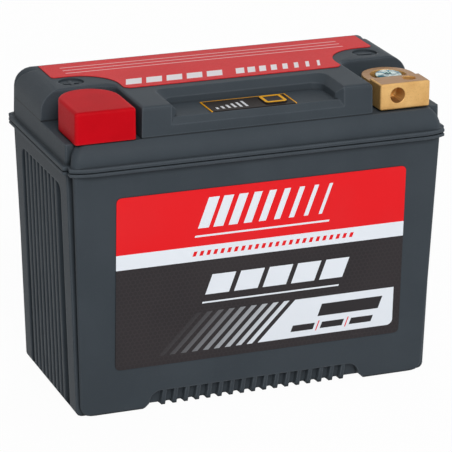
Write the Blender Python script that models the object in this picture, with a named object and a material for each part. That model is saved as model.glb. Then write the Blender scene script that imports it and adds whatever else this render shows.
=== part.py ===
# Sealed lithium motorcycle battery: ribbed case, welded cover, lug terminals and charge indicator.
# Metres, +Z up, origin at the centre of the base, front face towards -Y, positive terminal at -X.
import math

import bmesh
import bpy
from mathutils import Matrix

# Overall sizes
RIM_LENGTH = 0.166
RIM_WIDTH = 0.086
CASE_HEIGHT = 0.1068  # base to the seam between case and cover
LEDGE_RISE = 0.0102  # seam to the floors of the terminal pockets
POCKET_DEPTH = 0.013  # pocket floors to the deck
FIT_GAP = 0.0003  # clearance between pieces that touch
FILM_GAP = 0.0001  # adhesive under a printed film
BODY_MARGIN = 0.004  # how far a cutter runs past the face that it cuts

# Case
CASE_DRAFT_DEGREES = 2.06  # long walls lean in towards the base
END_DRAFT_DEGREES = 1.75
CASE_OVERHANG = 0.0025  # flange beyond the long walls
END_OVERHANG = 0.002  # flange beyond the end pads
CASE_FLANGE = 0.0015
COVER_FLANGE = 0.0017
FLANGE_EDGE = 0.0003
CASE_WALL = 0.0026
CASE_FLOOR = 0.0045
FLOOR_FILLET = 0.004
CORNER_RADIUS = 0.0012  # upright edges of the long walls
FLANGE_BOW = 0.0197  # radius on which the flange falls back towards its corners
FLANGE_BOW_RUN = 0.0096
INNER_CORNER = 0.005
PAD_INSET = 0.0056  # long wall to the edge of the end pad
PAD_STEP = 0.0023  # depth of the notch beside the end pad
PAD_EDGE = 0.0005
FRONT_POST_SETBACK = 0.0014  # upright edges of the front wall below the pad face
BACK_POST_SETBACK = 0.00095
FLANGE_PAD_INSET = 0.0062
FLANGE_FRONT_SETBACK = 0.0017
FLANGE_BACK_SETBACK = 0.0011
FLANGE_STEP = 0.002
NOTCH_FLAT = 0.0003
BASE_ROUND = 0.0047  # end walls into the base
PAD_ROUND = 0.0024  # end pads into the base
BASE_EDGE = 0.0007
BASE_STEPS = 6
ARC_STEPS = 6

# Ribs on the end pads and along the base
RIB_PITCH = 0.005
RIB_WIDTH = 0.0021
RIB_FLANK = 0.0004
BASE_RIB_WIDTH = 0.0017
UNDER_RIB_WIDTH = 0.0015
UNDER_FLANK = 0.00115
PANEL_BORDER = 0.0084
PANEL_TOP_BAND = 0.0088  # seam to the top of the ribbed end panel
PANEL_CORNER = 0.004
PANEL_CREST = 0.0002  # rib crests below the pad face
PANEL_SHIFT = 0.0015  # ribs sit a little towards the back of the pad
PANEL_SILL = 0.0008
PANEL_SLOT = 0.0031
FOOT_LENGTH = 0.0308
FOOT_SLOPE = 0.0025
FOOT_RISE = 0.00235
RECESS_CORNER = 0.0053
BASE_RECESS_HEIGHT = 0.0076
BASE_CREST_TOP = 0.0002  # rib faces behind the long wall at the head of the recess
BASE_CREST_FOOT = 0.0022
BASE_SLOT_TOP = 0.0021
BASE_SLOT_FOOT = 0.0039
UNDER_CREST = 0.0001  # rib tips above the feet
UNDER_SLOT = 0.00095

# Cover
COVER_OVERHANG = 0.0018
COVER_DRAFT_DEGREES = 1.15
COVER_CORNER = 0.003
COVER_PAD_INSET = 0.0068
COVER_POST_SETBACK = 0.001
COVER_WALL = 0.0025
DECK_ROUND = 0.009
DECK_STEPS = 8
FRONT_ROLL = 0.0035  # how far the convex front wall leans back at the ledge
BLOCK_SETBACK = 0.0006
EDGE_ROUND = 0.0015
POCKET_WIDTH = 0.0312
POCKET_LENGTH = 0.0356
POCKET_CORNER = 0.005
POCKET_DRAFT_DEGREES = 1.15
EAR_WIDTH = 0.0124
RECESS_LENGTH = 0.0221
RECESS_DEPTH = 0.0057
RECESS_BEVEL = 0.003
RECESS_DRAFT_DEGREES = 5.7
DISH_CORNER = 0.0045
LIP_DROP = 0.003
LIP_RUN = 0.0018
LIP_TAPER = 1.1  # lip ends draw in along the flared ears
DIMPLE_RADIUS = 0.0053
DIMPLE_DEPTH = 0.0008
DIMPLE_SETBACK = 0.0085  # pocket back wall to the dimple centre

# Terminals
LUG_WIDTH = 0.0222
LUG_DEPTH = 0.011
LUG_HEIGHT = 0.0112
LUG_SETBACK = 0.0021  # ledge edge to the lug face
LUG_INSET = 0.01525  # block side to the lug centre
LUG_EDGE = 0.0005
CUP_OFFSET = 0.0174  # lug face to the screw centre
CUP_DROP = 0.0013  # cup rim below the lug top
CUP_RADIUS = 0.0077
CUP_FLOOR = 0.0059
FRONT_HOLE = 0.0066
FRONT_HOLE_OFFSET = 0.00345
FRONT_HOLE_DROP = 0.0051  # lug top to the hole centre
FRONT_HOLE_DEPTH = 0.0083
TOP_HOLE = 0.0058
TOP_HOLE_OFFSET = 0.0042
TOP_HOLE_SETBACK = 0.006
TOP_HOLE_DEPTH = 0.008
SCREW_DIAMETER = 0.005
SCREW_HEAD = 0.0114
SCREW_HEAD_HEIGHT = 0.0044
SCREW_HEAD_ROUND = 0.0011
INSERT_NECK = 0.0092
INSERT_COLLAR = 0.013
INSERT_COLLAR_HEIGHT = 0.003
INSERT_HEIGHT = 0.0095
INSERT_END = 0.0015
ROUND_STEPS = 28

# Red terminal cap
CAP_WALL = 0.0014
CAP_TOP = 0.0017
CAP_FRONT_ROOM = 0.0007
CAP_EDGE = 0.0012
CAP_DRAFT_DEGREES = 0.6

# Printed films
FILM_THICKNESS = 0.00025
FILM_CORNER = 0.002
FRONT_LABEL_LENGTH = 0.1263
FRONT_LABEL_HEIGHT = 0.0749
FRONT_LABEL_TOP = 0.0126  # seam to the top of the label
FRONT_LABEL_SHIFT = 0.0013
TOP_LABEL_FRONT = 0.0046  # recess back edge to the label
TOP_LABEL_SIDE = 0.0022  # block side to the narrow part of the label
TOP_LABEL_HOLLOW = 0.0162
TOP_LABEL_WING = 0.0152  # pocket back wall to the wing edge

# Indicator
OVERLAY_LENGTH = 0.0371
OVERLAY_WIDTH = 0.0138
OVERLAY_SHIFT = -0.0012
OVERLAY_LIP = 0.0002  # front lip of the recess floor to the film
BUTTON_SIZE = 0.0095
BUTTON_SHIFT = 0.0106  # overlay centre to the button centre
BUTTON_CORNER = 0.0016
BUTTON_PROUD = 0.0006
BUTTON_FLANGE = 0.0012
DOME_RADIUS = 0.0032
DOME_HEIGHT = 0.0012
INDICATOR_BOARD_LENGTH = 0.046
INDICATOR_BOARD_WIDTH = 0.013
BOARD_THICKNESS = 0.0016
LED_COUNT = 6
LED_PITCH = 0.0026
LED_SIZE = (0.0013, 0.0026, 0.0014)
LED_SHIFT = -0.0083

# Cells and electronics
CELL_COUNT = 4
CELL_THICKNESS = 0.0095
CELL_END_ROOM = 0.0075
CELL_CORNER = 0.0025
CELL_PILLOW = 0.0014
CELL_SEAL = 0.006
CELL_SEAL_THICKNESS = 0.0011
SEPARATOR = 0.0008
SEPARATOR_INSET = 0.003
BASE_PAD = 0.003
BAND_THICKNESS = 0.0004
BAND_HEIGHT = 0.014
SIDE_PAD_RISE = 0.012
TAB_WIDTH = 0.02
TAB_THICKNESS = 0.0006
TAB_OFFSET = 0.034
TAB_HEIGHT = 0.009
LINK_THICKNESS = 0.0012
BOARD_DROP = 0.0125  # seam to the top of the management board
BOARD_INSET = 0.004
FET_COUNT = 4
FET_SIZE = (0.009, 0.010, 0.0044)
FET_PITCH = 0.013
CONNECTOR_SIZE = (0.012, 0.006, 0.005)
CONNECTOR_WALL = 0.0009
BUSBAR_WIDTH = 0.011
BUSBAR_THICKNESS = 0.0014
BUSBAR_FOOT = 0.012
LEAD_RADIUS = 0.0011

# Slopes and heights worked out from the driving sizes
CASE_DRAFT = math.tan(math.radians(CASE_DRAFT_DEGREES))
END_DRAFT = math.tan(math.radians(END_DRAFT_DEGREES))
COVER_DRAFT = math.tan(math.radians(COVER_DRAFT_DEGREES))
POCKET_DRAFT = math.tan(math.radians(POCKET_DRAFT_DEGREES))
RECESS_DRAFT = math.tan(math.radians(RECESS_DRAFT_DEGREES))
CAP_DRAFT = math.tan(math.radians(CAP_DRAFT_DEGREES))
SEAM_LOW = CASE_HEIGHT - FIT_GAP / 2
SEAM_HIGH = CASE_HEIGHT + FIT_GAP / 2
COVER_FOOT = SEAM_HIGH + COVER_FLANGE
LEDGE = CASE_HEIGHT + LEDGE_RISE
DECK = LEDGE + POCKET_DEPTH
RECESS_FLOOR = DECK - RECESS_DEPTH
LUG_BASE = LEDGE + FIT_GAP
LUG_TOP = LUG_BASE + LUG_HEIGHT
BOARD_TOP = CASE_HEIGHT - BOARD_DROP
LINK_TOP = BOARD_TOP - BOARD_THICKNESS - FIT_GAP
TAB_TOP = LINK_TOP - LINK_THICKNESS - FIT_GAP
CELL_BASE = CASE_FLOOR + BASE_PAD + 2 * FIT_GAP
CELL_TOP = TAB_TOP - TAB_HEIGHT
INSERT_BASE = LEDGE - INSERT_HEIGHT


def case_end(z):
    return RIM_LENGTH / 2 - END_OVERHANG - END_DRAFT * (CASE_HEIGHT - z)


def case_side(z):
    return RIM_WIDTH / 2 - CASE_OVERHANG - CASE_DRAFT * (CASE_HEIGHT - z)


def deck_roll(z):
    rise = z - (DECK - DECK_ROUND)
    return 0.0 if rise <= 0 else DECK_ROUND - math.sqrt(max(DECK_ROUND ** 2 - rise ** 2, 0.0))


def cover_wall(half_size, z):
    return half_size - COVER_OVERHANG - COVER_DRAFT * (z - COVER_FOOT)


def cover_end(z):
    return cover_wall(RIM_LENGTH / 2, z) - deck_roll(z)


def cover_back(z):
    return cover_wall(RIM_WIDTH / 2, z) - deck_roll(z)


def cover_front(z):
    # circular arc that leans back by FRONT_ROLL between the flange and the ledge
    height = LEDGE - COVER_FOOT
    radius = (height ** 2 + FRONT_ROLL ** 2) / (2 * FRONT_ROLL)
    return RIM_WIDTH / 2 - COVER_OVERHANG - radius + math.sqrt(radius ** 2 - (z - COVER_FOOT) ** 2)


# Places worked out from the driving sizes
LEDGE_FRONT = cover_front(LEDGE)
BLOCK_FRONT = LEDGE_FRONT - BLOCK_SETBACK
BLOCK_HALF = RIM_LENGTH / 2 - COVER_OVERHANG - POCKET_WIDTH
POCKET_BACK = POCKET_LENGTH - LEDGE_FRONT
RECESS_HALF = BLOCK_HALF - EAR_WIDTH
RECESS_BACK = RECESS_LENGTH - BLOCK_FRONT
LUG_X = BLOCK_HALF + LUG_INSET
LUG_FACE = -(LEDGE_FRONT - LUG_SETBACK)
CUP_Y = LUG_FACE + CUP_OFFSET
PAD_HALF = case_side(CASE_HEIGHT) - PAD_INSET
COVER_PAD = RIM_WIDTH / 2 - COVER_OVERHANG - COVER_PAD_INSET
LIP_FRONT = -(BLOCK_FRONT - LIP_RUN)
OVERLAY_Y = LIP_FRONT + OVERLAY_LIP + OVERLAY_WIDTH / 2
BLOCK_HOLLOW = COVER_WALL - BLOCK_FRONT  # front of the hollow inside the central block
BUTTON_X = OVERLAY_SHIFT + BUTTON_SHIFT
CAVITY_END = case_end(CASE_FLOOR + FLOOR_FILLET) - PAD_STEP - CASE_WALL
CAVITY_SIDE = case_side(CASE_FLOOR + FLOOR_FILLET) - CASE_WALL
CELL_HALF_LENGTH = CAVITY_END - CELL_END_ROOM
CELL_PITCH = CELL_THICKNESS + SEPARATOR + 2 * FIT_GAP
STACK_HALF = (CELL_PITCH * (CELL_COUNT - 1) + CELL_THICKNESS) / 2


def finish_material(name, colour, roughness, metallic=0.0):
    made = bpy.data.materials.new(name)
    made.use_nodes = True
    shader = made.node_tree.nodes["Principled BSDF"]
    shader.inputs["Base Color"].default_value = (*colour, 1.0)
    shader.inputs["Roughness"].default_value = roughness
    shader.inputs["Metallic"].default_value = metallic
    return made


def arc(centre_x, centre_y, radius, start, end, steps):
    angles = [math.radians(start + (end - start) * i / steps) for i in range(steps + 1)]
    return [(centre_x + radius * math.cos(a), centre_y + radius * math.sin(a)) for a in angles]


def pad_quarter(half_length, half_width, corner, pad, step, post):
    # from the long wall, round its upright edge, across the notch and onto the end pad
    radius, run = corner
    edge = half_length - post
    stop = math.degrees(math.acos(run / radius))
    points = arc(edge - run, half_width - radius, radius, 90, stop, ARC_STEPS)
    points += [(half_length - step, pad + NOTCH_FLAT), (half_length - step, pad)]
    return points + [(half_length - PAD_EDGE, pad), (half_length, pad - PAD_EDGE)]


def pad_outline(half_length, front, back, corner, pads, steps, posts):
    # corner is (radius, run); the other pairs are (front, back)
    front_part = pad_quarter(half_length, front, corner, pads[0], steps[0], posts[0])
    back_part = pad_quarter(half_length, back, corner, pads[1], steps[1], posts[1])
    points = [(x, -y) for x, y in front_part] + [(x, y) for x, y in reversed(back_part)]
    return points + [(-x, y) for x, y in back_part] + [(-x, -y) for x, y in reversed(front_part)]


def round_outline(half_length, low, high, radius, steps=ARC_STEPS + 4, centre=0.0):
    # by default it has as many points as a pad outline, so that the two can be lofted
    right, left = centre + half_length, centre - half_length
    points = arc(right - radius, low + radius, radius, -90, 0, steps)
    points += arc(right - radius, high - radius, radius, 0, 90, steps)
    points += arc(left + radius, high - radius, radius, 90, 180, steps)
    return points + arc(left + radius, low + radius, radius, 180, 270, steps)


def level(outline, z):
    return [(x, y, z) for x, y in outline]


def circle_ring(centre_x, centre_y, radius, z):
    return level(arc(centre_x, centre_y, radius, 0, 360 - 360 / ROUND_STEPS, ROUND_STEPS - 1), z)


def add_loft(mesh, rings, closed=False):
    loops = [[mesh.verts.new(point) for point in ring] for ring in rings]
    pairs = list(zip(loops, loops[1:]))
    if closed:
        pairs.append((loops[-1], loops[0]))
    for low, high in pairs:
        for i in range(len(low)):
            j = (i + 1) % len(low)
            mesh.faces.new((low[i], low[j], high[j], high[i]))
    if not closed:
        mesh.faces.new(reversed(loops[0]))
        mesh.faces.new(loops[-1])


def make_object(name, lofts, finish=None, closed=False):
    mesh = bmesh.new()
    for rings in lofts:
        add_loft(mesh, rings, closed)
    bmesh.ops.recalc_face_normals(mesh, faces=mesh.faces)
    data = bpy.data.meshes.new(name)
    mesh.to_mesh(data)
    mesh.free()
    data.shade_smooth()
    data.set_sharp_from_angle(angle=math.radians(35))
    made = bpy.data.objects.new(name, data)
    bpy.context.scene.collection.objects.link(made)
    if finish:
        data.materials.append(finish)
    return made


def piece(name, rings, finish, closed=False):
    return make_object(name, [rings], finish, closed)


def cut_with(target, tool, operation="DIFFERENCE"):
    tool.hide_render = True
    tool.display_type = "WIRE"
    modifier = target.modifiers.new(tool.name, "BOOLEAN")
    modifier.operation = operation
    modifier.solver = "EXACT"
    modifier.object = tool


def combine(target, name, lofts, operation="DIFFERENCE"):
    cut_with(target, make_object(name, lofts), operation)


def place_origin(target, point):
    target.data.transform(Matrix.Translation([-value for value in point]))
    target.location = point


def turned(centre_x, centre_y, profile):
    return [circle_ring(centre_x, centre_y, radius, z) for radius, z in profile]


def block_rings(size, centre, base, taper=0.0):
    # a small moulded block: full at the base, drawn in by taper at the top
    return [[(centre[0] + sx * (size[0] / 2 - inset), centre[1] + sy * (size[1] / 2 - inset), z)
             for sx, sy in ((1, -1), (1, 1), (-1, 1), (-1, -1))]
            for inset, z in ((0.0, base), (taper, base + size[2]))]


def comb(half_width, crest, slot, rib_width, flank, end_slope=0.0, spread=0.0):
    # section of a ribbed recess: (place along the row, depth below the face)
    ribs = 2 * int((half_width - RIB_PITCH * 0.9) / RIB_PITCH) + 1
    inner = half_width + spread
    outer = inner + end_slope * (1 + BODY_MARGIN / slot)
    points = [(-outer, -BODY_MARGIN), (-inner, slot)]
    for i in range(ribs):
        middle = (i - (ribs - 1) / 2) * RIB_PITCH
        half = rib_width / 2
        points += [(middle - half - flank, slot), (middle - half, crest)]
        points += [(middle + half, crest), (middle + half + flank, slot)]
    return points + [(inner, slot), (outer, -BODY_MARGIN)]


def arch(half_width, low, high, radius):
    # window with rounded upper corners
    points = [(-half_width, low), (half_width, low)]
    points += arc(half_width - radius, high - radius, radius, 0, 90, ARC_STEPS)
    return points + arc(-half_width + radius, high - radius, radius, 90, 180, ARC_STEPS)


def windowed_comb(name, comb_rings, window_rings):
    # a ribbed cutter kept only where the rounded window is
    tool = make_object(name, [comb_rings])
    combine(tool, name + "_window", [window_rings], "INTERSECT")
    return tool


def round_inset(radius, z):
    # how far a wall that rounds into the base has drawn in at a height
    drop = max(radius - z, 0.0)
    return radius - math.sqrt(radius ** 2 - drop ** 2)


def case_outline(z):
    side = case_side(z) - max(BASE_EDGE - z, 0.0)
    pad = min(PAD_HALF, side - CORNER_RADIUS - NOTCH_FLAT)
    pad_inset = round_inset(PAD_ROUND, z)
    deeper = round_inset(BASE_ROUND, z) - pad_inset
    corner = (CORNER_RADIUS, CORNER_RADIUS)
    step = PAD_STEP + deeper
    posts = (FRONT_POST_SETBACK + deeper, BACK_POST_SETBACK + deeper)
    return pad_outline(case_end(z) - pad_inset, side, side, corner, (pad, pad), (step, step), posts)


def rim_outline(inset):
    side = RIM_WIDTH / 2 - inset
    pads = (side - FLANGE_PAD_INSET, side - FLANGE_PAD_INSET)
    corner = (FLANGE_BOW, FLANGE_BOW_RUN)
    steps, posts = (FLANGE_STEP, FLANGE_STEP), (FLANGE_FRONT_SETBACK, FLANGE_BACK_SETBACK)
    return pad_outline(RIM_LENGTH / 2 - inset, side, side, corner, pads, steps, posts)


def flange_rings(low, high):
    return [level(rim_outline(FLANGE_EDGE), low), level(rim_outline(0.0), low + FLANGE_EDGE),
            level(rim_outline(0.0), high - FLANGE_EDGE), level(rim_outline(FLANGE_EDGE), high)]


def case_cavity(z, inset=0.0):
    side = case_side(z) - CASE_WALL - inset
    return level(round_outline(case_end(z) - PAD_STEP - CASE_WALL - inset, -side, side, INNER_CORNER), z)


def make_case(finish):
    turns = [math.radians(90 * i / BASE_STEPS) for i in range(BASE_STEPS + 1)]
    heights = [BASE_ROUND * (1 - math.cos(turn)) for turn in turns]
    rings = [level(case_outline(z), z) for z in heights]
    flange_base = SEAM_LOW - CASE_FLANGE
    rings.append(level(case_outline(flange_base), flange_base))
    rings += flange_rings(flange_base, SEAM_LOW)
    rings += [case_cavity(SEAM_LOW), case_cavity(CASE_FLOOR + FLOOR_FILLET)]
    rings.append(case_cavity(CASE_FLOOR, FLOOR_FILLET))
    case = piece("case", rings, finish)

    panel_top = CASE_HEIGHT - PANEL_TOP_BAND
    panel_half = PAD_HALF - PANEL_BORDER
    panel_comb = comb(panel_half, PANEL_CREST, PANEL_SLOT, RIB_WIDTH, RIB_FLANK, spread=BODY_MARGIN)
    panel_window = arch(panel_half, PANEL_SILL, panel_top, PANEL_CORNER)
    for side, name in ((-1, "left"), (1, "right")):
        rings = [[(side * (case_end(z) - depth), y + PANEL_SHIFT, z) for y, depth in panel_comb]
                 for z in (-BODY_MARGIN, panel_top + BODY_MARGIN)]
        window = [[(side * x, y, z) for y, z in panel_window]
                  for x in (case_end(0) - 2 * BODY_MARGIN, RIM_LENGTH / 2 + 2 * BODY_MARGIN)]
        cut_with(case, windowed_comb(f"end_panel_{name}", rings, window))

    recess_half = case_end(0) - FOOT_LENGTH
    recess_window = foot_window(recess_half)
    levels = (-BODY_MARGIN, BASE_RECESS_HEIGHT + BODY_MARGIN)
    for side, name in ((-1, "front"), (1, "back")):
        rings = [[(x, side * (case_side(z) - depth), z) for x, depth in base_comb(recess_half, z)]
                 for z in levels]
        window = [[(x, side * y, z) for x, z in recess_window]
                  for y in (case_side(0) - 2 * BODY_MARGIN, RIM_WIDTH / 2 + BODY_MARGIN)]
        cut_with(case, windowed_comb(f"base_recess_{name}", rings, window))
    share = UNDER_SLOT / FOOT_RISE
    under = comb(recess_half + FOOT_SLOPE * (1 - share), UNDER_CREST, UNDER_SLOT,
                 UNDER_RIB_WIDTH, UNDER_FLANK, end_slope=FOOT_SLOPE * share)
    grooves = [[(x, y, depth) for x, depth in under] for y in (-RIM_WIDTH, RIM_WIDTH)]
    combine(case, "base_grooves", [grooves])


def base_comb(half_width, z):
    # the recess along the base deepens from its head to the feet
    rise = z / BASE_RECESS_HEIGHT
    crest = BASE_CREST_FOOT + (BASE_CREST_TOP - BASE_CREST_FOOT) * rise
    slot = BASE_SLOT_FOOT + (BASE_SLOT_TOP - BASE_SLOT_FOOT) * rise
    return comb(half_width, crest, slot, BASE_RIB_WIDTH, RIB_FLANK, spread=BODY_MARGIN)


def foot_window(half_width):
    # opening between the feet: sloped foot ends below, rounded corners above
    radius, high = RECESS_CORNER, BASE_RECESS_HEIGHT
    low_half = half_width + FOOT_SLOPE * (1 + BODY_MARGIN / FOOT_RISE)
    points = [(-half_width, FOOT_RISE), (-low_half, -BODY_MARGIN)]
    points += [(low_half, -BODY_MARGIN), (half_width, FOOT_RISE)]
    start = math.degrees(math.asin(min(max(FOOT_RISE + NOTCH_FLAT - high + radius, 0.0) / radius, 1.0)))
    points += arc(half_width - radius, high - radius, radius, start, 90, ARC_STEPS)
    return points + arc(-half_width + radius, high - radius, radius, 90, 180 - start, ARC_STEPS)


def cover_outline(z, front):
    roll = deck_roll(z)
    stay = 1 - roll / DECK_ROUND
    radius = max(COVER_CORNER * stay, FLANGE_EDGE)
    lean = RIM_WIDTH / 2 - COVER_OVERHANG - front
    posts = ((COVER_POST_SETBACK + lean) * stay, COVER_POST_SETBACK * stay)
    steps = (max(PAD_STEP * stay, posts[0] + NOTCH_FLAT), PAD_STEP * stay)
    pad_front = min(COVER_PAD, front - radius - NOTCH_FLAT)
    pad_back = min(COVER_PAD - roll, cover_back(z) - radius - NOTCH_FLAT)
    pads = (pad_front, pad_back)
    return pad_outline(cover_end(z), front, cover_back(z), (radius, radius), pads, steps, posts)


def block_face(z):
    rise = z - (DECK - EDGE_ROUND)
    inset = 0.0 if rise <= 0 else EDGE_ROUND - math.sqrt(max(EDGE_ROUND ** 2 - rise ** 2, 0.0))
    return BLOCK_FRONT - POCKET_DRAFT * (z - LEDGE) - inset


def cover_shell_rings():
    rings = flange_rings(SEAM_HIGH, COVER_FOOT)
    crease = LEDGE + FIT_GAP
    for i in range(ARC_STEPS + 1):
        z = COVER_FOOT + (crease - COVER_FOOT) * i / ARC_STEPS
        rings.append(level(cover_outline(z, cover_front(z)), z))
    z = crease + BLOCK_SETBACK / 4
    rings.append(level(cover_outline(z, block_face(z)), z))
    for i in range(DECK_STEPS + 1):
        z = DECK - DECK_ROUND + DECK_ROUND * math.sin(math.radians(90 * i / DECK_STEPS))
        rings.append(level(cover_outline(z, block_face(z)), z))
    return rings


def edge_flare(steps=3):
    # (widening, height) of a cutter whose mouth leaves a rounded edge at the deck
    flare = [(0.0, LEDGE), (POCKET_DRAFT * (DECK - EDGE_ROUND - LEDGE), DECK - EDGE_ROUND)]
    start = flare[-1][0]
    for i in range(1, steps + 1):
        turn = math.radians(90 * i / steps)
        flare.append((start + EDGE_ROUND * (1 - math.cos(turn)), DECK - EDGE_ROUND * (1 - math.sin(turn))))
    return flare + [(start + EDGE_ROUND, DECK + BODY_MARGIN)]


def pocket_rings(side):
    rings = []
    for widen, z in edge_flare():
        inner, back = BLOCK_HALF - widen, POCKET_BACK + widen
        corner = arc(inner + POCKET_CORNER, back - POCKET_CORNER, POCKET_CORNER, 90, 180, ARC_STEPS)
        outline = [(inner, -RIM_WIDTH), (RIM_LENGTH, -RIM_WIDTH), (RIM_LENGTH, back)] + corner
        rings.append([(side * x, y, z) for x, y in outline])
    return rings


def recess_rings():
    step = DECK - RECESS_BEVEL
    wall = RECESS_BEVEL + RECESS_DRAFT * (step - RECESS_FLOOR)
    rings = []
    reach = 2 * BODY_MARGIN
    for inset, z in ((wall, RECESS_FLOOR), (RECESS_BEVEL, step), (-BODY_MARGIN, DECK + BODY_MARGIN)):
        half, back = RECESS_HALF - inset, RECESS_BACK - inset
        # the side walls flare out to the front face, so that the ears end in a chamfer
        outline = [(-half, inset - BLOCK_FRONT), (-RECESS_HALF - reach, -BLOCK_FRONT - reach)]
        outline += [(RECESS_HALF + reach, -BLOCK_FRONT - reach), (half, inset - BLOCK_FRONT)]
        outline += arc(half - DISH_CORNER, back - DISH_CORNER, DISH_CORNER, 0, 90, ARC_STEPS)
        outline += arc(-half + DISH_CORNER, back - DISH_CORNER, DISH_CORNER, 90, 180, ARC_STEPS)
        rings.append(level(outline, z))
    return rings


def lip_rings():
    # sloped front edge of the recess floor
    rise, run = LIP_DROP / 2, LIP_RUN / 2
    section = [(LIP_FRONT + run, RECESS_FLOOR + rise), (-RIM_WIDTH, RECESS_FLOOR + rise)]
    foot = RECESS_FLOOR - LIP_DROP - rise
    section += [(-RIM_WIDTH, foot), (-BLOCK_FRONT - run, foot)]
    return [[(side * (RECESS_HALF - LIP_TAPER * (y + BLOCK_FRONT)), y, z) for y, z in section]
            for side in (-1, 1)]


def cavity_lofts():
    # full width under the ledge, then only the part behind the pockets up to the deck
    hollow = []
    shelf = LEDGE - COVER_WALL
    for z in (SEAM_LOW - BODY_MARGIN, COVER_FOOT, (COVER_FOOT + shelf) / 2, shelf):
        at = max(z, COVER_FOOT)
        end = cover_end(at) - PAD_STEP - COVER_WALL
        front, back = -(cover_front(at) - COVER_WALL), cover_back(at) - COVER_WALL
        hollow.append(level(round_outline(end, front, back, INNER_CORNER), z))
    start = DECK - DECK_ROUND
    inner_round = DECK_ROUND - COVER_WALL
    turns = [(shelf, FIT_GAP)]
    for i in range(ARC_STEPS):
        turn = math.radians(90 * i / (ARC_STEPS - 1))
        turns.append((start + inner_round * math.sin(turn), FIT_GAP + inner_round * (1 - math.cos(turn))))
    for z, inset in turns:
        end = cover_wall(RIM_LENGTH / 2, z) - PAD_STEP - COVER_WALL - inset
        back = cover_wall(RIM_WIDTH / 2, z) - COVER_WALL - inset
        hollow.append(level(round_outline(end, POCKET_BACK + COVER_WALL, back, INNER_CORNER), z))
    half = BLOCK_HALF - COVER_WALL
    back = POCKET_BACK + 2 * COVER_WALL
    block = [level(round_outline(half, BLOCK_HOLLOW, back, FLANGE_EDGE), z)
             for z in (shelf - BODY_MARGIN / 3, RECESS_FLOOR - COVER_WALL)]
    return {"shell": hollow, "block": block}


def led_place(index):
    return OVERLAY_SHIFT + LED_SHIFT + (index - (LED_COUNT - 1) / 2) * LED_PITCH


def button_outline(grow):
    half = BUTTON_SIZE / 2 + grow
    radius = BUTTON_CORNER + max(grow, 0.0)
    return round_outline(half, OVERLAY_Y - half, OVERLAY_Y + half, radius, 4, BUTTON_X)


def make_cover(finish):
    cover = piece("cover", cover_shell_rings(), finish)
    combine(cover, "terminal_pockets", [pocket_rings(1), pocket_rings(-1)])
    combine(cover, "indicator_recess", [recess_rings()])
    combine(cover, "recess_lip", [lip_rings()])
    dimple_y = POCKET_BACK + DIMPLE_SETBACK
    dimple = ((DIMPLE_RADIUS, DECK - DIMPLE_DEPTH), (DIMPLE_RADIUS, DECK + BODY_MARGIN))
    dimples = [turned(side * LUG_X, dimple_y, dimple) for side in (-1, 1)]
    combine(cover, "polarity_dimples", dimples)
    for name, rings in cavity_lofts().items():
        combine(cover, f"cover_cavity_{name}", [rings])
    low, high = LEDGE - 2 * COVER_WALL, LEDGE + BODY_MARGIN
    radius = INSERT_NECK / 2 + FIT_GAP
    bores = [turned(side * LUG_X, CUP_Y, ((radius, low), (radius, high))) for side in (-1, 1)]
    combine(cover, "insert_bores", bores)
    low, high = RECESS_FLOOR - 2 * COVER_WALL, RECESS_FLOOR + BODY_MARGIN
    half = LED_PITCH * LED_COUNT / 2
    slot = LED_SIZE[1] / 2 + FIT_GAP
    middle = OVERLAY_SHIFT + LED_SHIFT
    window = round_outline(half, OVERLAY_Y - slot, OVERLAY_Y + slot, FLANGE_EDGE, 1, middle)
    openings = [[level(outline, z) for z in (low, high)] for outline in (window, button_outline(FIT_GAP))]
    combine(cover, "indicator_windows", openings)


def lug_outline(side, inset):
    # flat front and sides, half circle round the screw at the back
    half = LUG_WIDTH / 2 - inset
    front = LUG_FACE + inset
    points = [(-half, front + LUG_EDGE), (-half + LUG_EDGE, front)]
    points += [(half - LUG_EDGE, front), (half, front + LUG_EDGE)]
    points += arc(0.0, CUP_Y, half, 0, 180, ROUND_STEPS // 2)
    return [(side * LUG_X + x, y) for x, y in points]


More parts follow.
